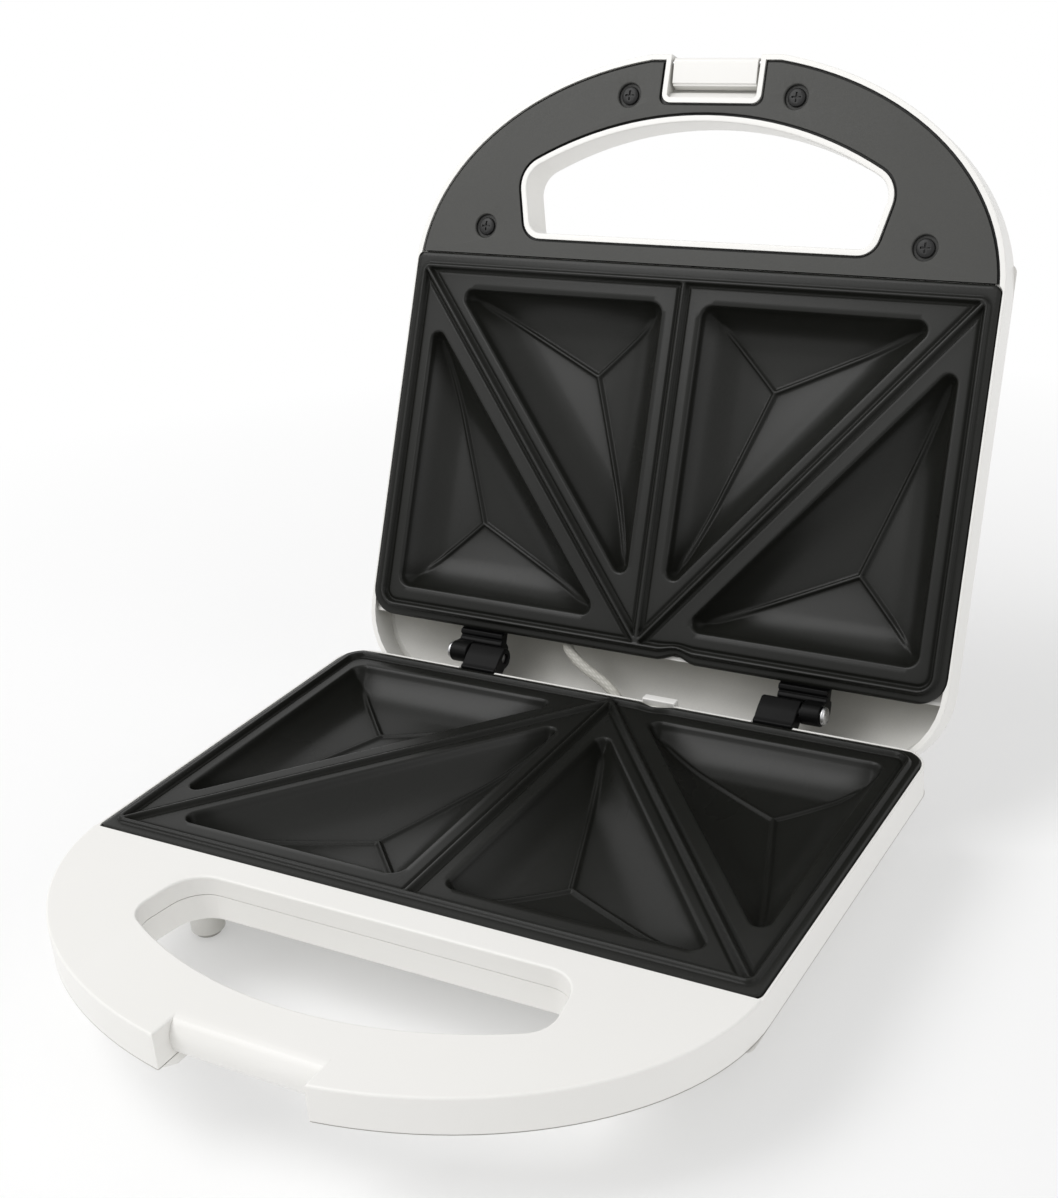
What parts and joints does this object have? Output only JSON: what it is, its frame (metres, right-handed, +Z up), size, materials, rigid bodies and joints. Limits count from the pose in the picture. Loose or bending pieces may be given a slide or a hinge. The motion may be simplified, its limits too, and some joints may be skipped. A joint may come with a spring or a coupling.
{
  "type": "sandwich toaster",
  "caption": "Electric sandwich toaster, open: two ridged non-stick plates with triangular pockets in a hinged white housing with loop handles and a folding latch clip.",
  "frame": {"origin": "on the table, under the centre of the open toaster's bounding box", "axes": "+Z up, +X to the user's right, +Y to the back, where the hinges are; -Y is the handle side"},
  "size_m": [0.2304, 0.3294, 0.2451],
  "materials": {
    "white_plastic": "moulded plastic with a soft gloss",
    "grey_plastic": "fine-grained dark grey plastic",
    "black_plastic": "heat-resistant black plastic",
    "nonstick_coating": "cast aluminium with a black non-stick coating",
    "element_sheath": "steel sheath",
    "plain_steel": "zinc-plated steel",
    "bright_aluminium": "bright rolled aluminium",
    "black_screw": "blackened steel",
    "white_ceramic": "white moulding",
    "glass_braid": "pale glass-fibre braid",
    "foot_rubber": "pale rubber",
    "red_lens": "clear red plastic",
    "green_lens": "clear green plastic"
  },
  "bodies": {
    "base": {"base_shell": "white_plastic", "base_top_frame": "white_plastic", "base_shell_screws": "plain_steel", "base_cooking_plate": "nonstick_coating", "base_plate_screws": "plain_steel", "base_heating_element": "element_sheath", "base_reflector": "plain_steel", "thermostat": "white_ceramic", "thermal_fuse": "white_ceramic", "terminal_block": "white_ceramic", "cord_gland": "black_plastic", "cord_clamp": "white_ceramic", "cord_clamp_screws": "plain_steel", "rubber_feet": "foot_rubber", "hinge_block_left": "black_plastic", "hinge_block_right": "black_plastic", "hinge_pin_left": "plain_steel", "hinge_pin_right": "plain_steel", "hinge_block_screws": "plain_steel", "lead_sleeve": "glass_braid"},
    "lid": {"lid_shell": "white_plastic", "lid_handle_liner": "grey_plastic", "lid_liner_screws": "black_screw", "lid_cooking_plate": "nonstick_coating", "lid_plate_screws": "plain_steel", "lid_heating_element": "element_sheath", "lid_reflector": "bright_aluminium", "hinge_leaf_left": "black_plastic", "hinge_leaf_right": "black_plastic", "hinge_leaf_screws": "plain_steel", "power_lens": "red_lens", "ready_lens": "green_lens", "power_lamp": "white_ceramic", "ready_lamp": "white_ceramic", "latch_pin": "plain_steel"},
    "latch": {"latch_clip": "white_plastic"}
  },
  "joints": [
    {"name": "lid_hinge", "type": "hinge", "parent": "base", "child": "lid", "pos_m": [0, 0.06058, 0.04], "axis": [1, 0, 0], "range_deg": [0, 114], "deforming": ["lead_sleeve"]},
    {"name": "latch_swing", "type": "hinge", "parent": "lid", "child": "latch", "pos_m": [0, 0.15464, 0.24168], "axis": [-1, 0, 0], "range_deg": [0, 90]}
  ]
}
